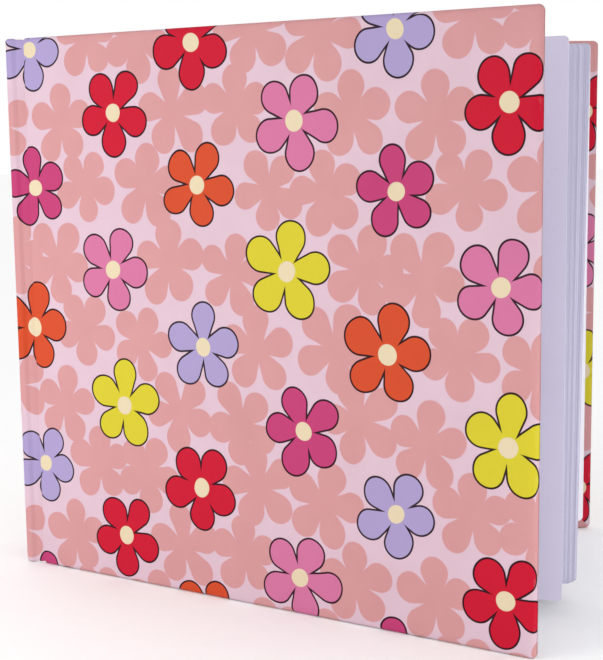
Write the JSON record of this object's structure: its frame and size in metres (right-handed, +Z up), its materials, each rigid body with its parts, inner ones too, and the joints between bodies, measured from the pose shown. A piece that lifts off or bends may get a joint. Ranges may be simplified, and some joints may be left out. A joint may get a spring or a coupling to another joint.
{
  "type": "scrapbook album",
  "caption": "Hard-cover book-bound scrapbook album standing slightly open, with floral printed covers, flexible joints and card leaves that turn.",
  "frame": {"origin": "middle of the spine's foot, on the flat tail edge that the album stands on", "axes": "+X from the spine to the fore-edge along the closed block of leaves, +Y from the front cover to the back cover, +Z up the spine"},
  "size_m": [0.3305, 0.2534, 0.31],
  "materials": {
    "printed_paper": "satin floral printed covering paper",
    "binder_board": "grey binder's board",
    "book_cloth": "open weave lining cloth",
    "endpaper": "smooth white endpaper",
    "leaf_card": "matte pale card"
  },
  "bodies": {
    "spine": {"spine_board": "binder_board", "spine_cover_paper": "printed_paper", "spine_lining": "book_cloth", "guard_strips": "leaf_card", "leaf_stubs": "leaf_card"},
    "front_joint": {"front_joint_paper": "printed_paper", "front_joint_lining": "book_cloth"},
    "front_cover": {"front_board": "binder_board", "front_cover_paper": "printed_paper", "front_pastedown": "endpaper"},
    "back_joint": {"back_joint_paper": "printed_paper", "back_joint_lining": "book_cloth"},
    "back_cover": {"back_board": "binder_board", "back_cover_paper": "printed_paper", "back_pastedown": "endpaper"},
    "front_flyleaf": {"front_flyleaf": "endpaper"},
    "leaf_01": {"leaf_01": "leaf_card"},
    "leaf_02": {"leaf_02": "leaf_card"},
    "leaf_03": {"leaf_03": "leaf_card"},
    "leaf_04": {"leaf_04": "leaf_card"},
    "leaf_05": {"leaf_05": "leaf_card"},
    "leaf_06": {"leaf_06": "leaf_card"},
    "leaf_07": {"leaf_07": "leaf_card"},
    "leaf_08": {"leaf_08": "leaf_card"},
    "leaf_09": {"leaf_09": "leaf_card"},
    "leaf_10": {"leaf_10": "leaf_card"},
    "leaf_11": {"leaf_11": "leaf_card"},
    "leaf_12": {"leaf_12": "leaf_card"},
    "leaf_13": {"leaf_13": "leaf_card"},
    "leaf_14": {"leaf_14": "leaf_card"},
    "leaf_15": {"leaf_15": "leaf_card"},
    "leaf_16": {"leaf_16": "leaf_card"},
    "leaf_17": {"leaf_17": "leaf_card"},
    "leaf_18": {"leaf_18": "leaf_card"},
    "leaf_19": {"leaf_19": "leaf_card"},
    "leaf_20": {"leaf_20": "leaf_card"},
    "leaf_21": {"leaf_21": "leaf_card"},
    "leaf_22": {"leaf_22": "leaf_card"},
    "leaf_23": {"leaf_23": "leaf_card"},
    "leaf_24": {"leaf_24": "leaf_card"},
    "leaf_25": {"leaf_25": "leaf_card"},
    "leaf_26": {"leaf_26": "leaf_card"},
    "leaf_27": {"leaf_27": "leaf_card"},
    "leaf_28": {"leaf_28": "leaf_card"},
    "leaf_29": {"leaf_29": "leaf_card"},
    "leaf_30": {"leaf_30": "leaf_card"},
    "back_flyleaf": {"back_flyleaf": "endpaper"}
  },
  "joints": [
    {"name": "front_opening", "type": "hinge", "parent": "spine", "child": "front_joint", "pos_m": [0.003, -0.0252, 0.155], "axis": [0, 0, -1], "range_deg": [0, 95]},
    {"name": "front_cover_hinge", "type": "hinge", "parent": "front_joint", "child": "front_cover", "pos_m": [0.011, -0.0252, 0.155], "axis": [0, 0, -1], "range_deg": [-10, 74]},
    {"name": "back_opening", "type": "hinge", "parent": "spine", "child": "back_joint", "pos_m": [0.003, 0.0252, 0.155], "axis": [0, 0, 1], "range_deg": [0, 95]},
    {"name": "back_cover_hinge", "type": "hinge", "parent": "back_joint", "child": "back_cover", "pos_m": [0.011, 0.0252, 0.155], "axis": [0, 0, 1], "range_deg": [-26.5, 57.5]},
    {"name": "front_flyleaf_turn", "type": "hinge", "parent": "spine", "child": "front_flyleaf", "pos_m": [0.0203, -0.0217, 0.155], "axis": [0, 0, -1], "range_deg": [0, 71.75]},
    {"name": "leaf_01_turn", "type": "hinge", "parent": "spine", "child": "leaf_01", "pos_m": [0.0206, -0.0203, 0.155], "axis": [0, 0, -1], "range_deg": [0, 70.92]},
    {"name": "leaf_02_turn", "type": "hinge", "parent": "spine", "child": "leaf_02", "pos_m": [0.0209, -0.0189, 0.155], "axis": [0, 0, -1], "range_deg": [0, 70.11]},
    {"name": "leaf_03_turn", "type": "hinge", "parent": "spine", "child": "leaf_03", "pos_m": [0.0212, -0.0175, 0.155], "axis": [0, 0, -1], "range_deg": [0, 69.28]},
    {"name": "leaf_04_turn", "type": "hinge", "parent": "spine", "child": "leaf_04", "pos_m": [0.0215, -0.0161, 0.155], "axis": [0, 0, -1], "range_deg": [0, 68.45]},
    {"name": "leaf_05_turn", "type": "hinge", "parent": "spine", "child": "leaf_05", "pos_m": [0.0218, -0.0147, 0.155], "axis": [0, 0, -1], "range_deg": [0, 67.64]},
    {"name": "leaf_06_turn", "type": "hinge", "parent": "spine", "child": "leaf_06", "pos_m": [0.0221, -0.0133, 0.155], "axis": [0, 0, -1], "range_deg": [0, 66.81]},
    {"name": "leaf_07_turn", "type": "hinge", "parent": "spine", "child": "leaf_07", "pos_m": [0.0224, -0.0119, 0.155], "axis": [0, 0, -1], "range_deg": [0, 65.98]},
    {"name": "leaf_08_turn", "type": "hinge", "parent": "spine", "child": "leaf_08", "pos_m": [0.0227, -0.0105, 0.155], "axis": [0, 0, -1], "range_deg": [0, 65.17]},
    {"name": "leaf_09_turn", "type": "hinge", "parent": "spine", "child": "leaf_09", "pos_m": [0.023, -0.0091, 0.155], "axis": [0, 0, -1], "range_deg": [0, 64.34]},
    {"name": "leaf_10_turn", "type": "hinge", "parent": "spine", "child": "leaf_10", "pos_m": [0.0233, -0.0077, 0.155], "axis": [0, 0, -1], "range_deg": [0, 63.51]},
    {"name": "leaf_11_turn", "type": "hinge", "parent": "spine", "child": "leaf_11", "pos_m": [0.0236, -0.0063, 0.155], "axis": [0, 0, -1], "range_deg": [0, 62.7]},
    {"name": "leaf_12_turn", "type": "hinge", "parent": "spine", "child": "leaf_12", "pos_m": [0.0239, -0.0049, 0.155], "axis": [0, 0, -1], "range_deg": [0, 61.87]},
    {"name": "leaf_13_turn", "type": "hinge", "parent": "spine", "child": "leaf_13", "pos_m": [0.0242, -0.0035, 0.155], "axis": [0, 0, -1], "range_deg": [0, 61.04]},
    {"name": "leaf_14_turn", "type": "hinge", "parent": "spine", "child": "leaf_14", "pos_m": [0.0245, -0.0021, 0.155], "axis": [0, 0, -1], "range_deg": [0, 60.23]},
    {"name": "leaf_15_turn", "type": "hinge", "parent": "spine", "child": "leaf_15", "pos_m": [0.0248, -0.0007, 0.155], "axis": [0, 0, -1], "range_deg": [0, 59.4]},
    {"name": "leaf_16_turn", "type": "hinge", "parent": "spine", "child": "leaf_16", "pos_m": [0.0248, 0.0007, 0.155], "axis": [0, 0, 1], "range_deg": [0, 59.4]},
    {"name": "leaf_17_turn", "type": "hinge", "parent": "spine", "child": "leaf_17", "pos_m": [0.0245, 0.0021, 0.155], "axis": [0, 0, 1], "range_deg": [0, 60.23]},
    {"name": "leaf_18_turn", "type": "hinge", "parent": "spine", "child": "leaf_18", "pos_m": [0.0242, 0.0035, 0.155], "axis": [0, 0, 1], "range_deg": [0, 61.04]},
    {"name": "leaf_19_turn", "type": "hinge", "parent": "spine", "child": "leaf_19", "pos_m": [0.0239, 0.0049, 0.155], "axis": [0, 0, 1], "range_deg": [0, 61.87]},
    {"name": "leaf_20_turn", "type": "hinge", "parent": "spine", "child": "leaf_20", "pos_m": [0.0236, 0.0063, 0.155], "axis": [0, 0, 1], "range_deg": [0, 62.7]},
    {"name": "leaf_21_turn", "type": "hinge", "parent": "spine", "child": "leaf_21", "pos_m": [0.0233, 0.0077, 0.155], "axis": [0, 0, 1], "range_deg": [0, 63.51]},
    {"name": "leaf_22_turn", "type": "hinge", "parent": "spine", "child": "leaf_22", "pos_m": [0.023, 0.0091, 0.155], "axis": [0, 0, 1], "range_deg": [0, 64.34]},
    {"name": "leaf_23_turn", "type": "hinge", "parent": "spine", "child": "leaf_23", "pos_m": [0.0227, 0.0105, 0.155], "axis": [0, 0, 1], "range_deg": [0, 65.17]},
    {"name": "leaf_24_turn", "type": "hinge", "parent": "spine", "child": "leaf_24", "pos_m": [0.0224, 0.0119, 0.155], "axis": [0, 0, 1], "range_deg": [0, 65.98]},
    {"name": "leaf_25_turn", "type": "hinge", "parent": "spine", "child": "leaf_25", "pos_m": [0.0221, 0.0133, 0.155], "axis": [0, 0, 1], "range_deg": [0, 66.81]},
    {"name": "leaf_26_turn", "type": "hinge", "parent": "spine", "child": "leaf_26", "pos_m": [0.0218, 0.0147, 0.155], "axis": [0, 0, 1], "range_deg": [0, 67.64]},
    {"name": "leaf_27_turn", "type": "hinge", "parent": "spine", "child": "leaf_27", "pos_m": [0.0215, 0.0161, 0.155], "axis": [0, 0, 1], "range_deg": [0, 68.45]},
    {"name": "leaf_28_turn", "type": "hinge", "parent": "spine", "child": "leaf_28", "pos_m": [0.0212, 0.0175, 0.155], "axis": [0, 0, 1], "range_deg": [0, 69.28]},
    {"name": "leaf_29_turn", "type": "hinge", "parent": "spine", "child": "leaf_29", "pos_m": [0.0209, 0.0189, 0.155], "axis": [0, 0, 1], "range_deg": [0, 70.11]},
    {"name": "leaf_30_turn", "type": "hinge", "parent": "spine", "child": "leaf_30", "pos_m": [0.0206, 0.0203, 0.155], "axis": [0, 0, 1], "range_deg": [0, 70.92]},
    {"name": "back_flyleaf_turn", "type": "hinge", "parent": "spine", "child": "back_flyleaf", "pos_m": [0.0203, 0.0217, 0.155], "axis": [0, 0, 1], "range_deg": [0, 71.75]}
  ],
  "couplings": [
    {"joint": "front_flyleaf_turn", "follows": "front_opening", "ratio": 0.75},
    {"joint": "leaf_01_turn", "follows": "front_opening", "ratio": 0.7413},
    {"joint": "leaf_02_turn", "follows": "front_opening", "ratio": 0.7327},
    {"joint": "leaf_03_turn", "follows": "front_opening", "ratio": 0.724},
    {"joint": "leaf_04_turn", "follows": "front_opening", "ratio": 0.7153},
    {"joint": "leaf_05_turn", "follows": "front_opening", "ratio": 0.7067},
    {"joint": "leaf_06_turn", "follows": "front_opening", "ratio": 0.698},
    {"joint": "leaf_07_turn", "follows": "front_opening", "ratio": 0.6893},
    {"joint": "leaf_08_turn", "follows": "front_opening", "ratio": 0.6807},
    {"joint": "leaf_09_turn", "follows": "front_opening", "ratio": 0.672},
    {"joint": "leaf_10_turn", "follows": "front_opening", "ratio": 0.6633},
    {"joint": "leaf_11_turn", "follows": "front_opening", "ratio": 0.6547},
    {"joint": "leaf_12_turn", "follows": "front_opening", "ratio": 0.646},
    {"joint": "leaf_13_turn", "follows": "front_opening", "ratio": 0.6373},
    {"joint": "leaf_14_turn", "follows": "front_opening", "ratio": 0.6287},
    {"joint": "leaf_15_turn", "follows": "front_opening", "ratio": 0.62},
    {"joint": "leaf_16_turn", "follows": "back_opening", "ratio": 0.62},
    {"joint": "leaf_17_turn", "follows": "back_opening", "ratio": 0.6287},
    {"joint": "leaf_18_turn", "follows": "back_opening", "ratio": 0.6373},
    {"joint": "leaf_19_turn", "follows": "back_opening", "ratio": 0.646},
    {"joint": "leaf_20_turn", "follows": "back_opening", "ratio": 0.6547},
    {"joint": "leaf_21_turn", "follows": "back_opening", "ratio": 0.6633},
    {"joint": "leaf_22_turn", "follows": "back_opening", "ratio": 0.672},
    {"joint": "leaf_23_turn", "follows": "back_opening", "ratio": 0.6807},
    {"joint": "leaf_24_turn", "follows": "back_opening", "ratio": 0.6893},
    {"joint": "leaf_25_turn", "follows": "back_opening", "ratio": 0.698},
    {"joint": "leaf_26_turn", "follows": "back_opening", "ratio": 0.7067},
    {"joint": "leaf_27_turn", "follows": "back_opening", "ratio": 0.7153},
    {"joint": "leaf_28_turn", "follows": "back_opening", "ratio": 0.724},
    {"joint": "leaf_29_turn", "follows": "back_opening", "ratio": 0.7327},
    {"joint": "leaf_30_turn", "follows": "back_opening", "ratio": 0.7413},
    {"joint": "back_flyleaf_turn", "follows": "back_opening", "ratio": 0.75}
  ]
}
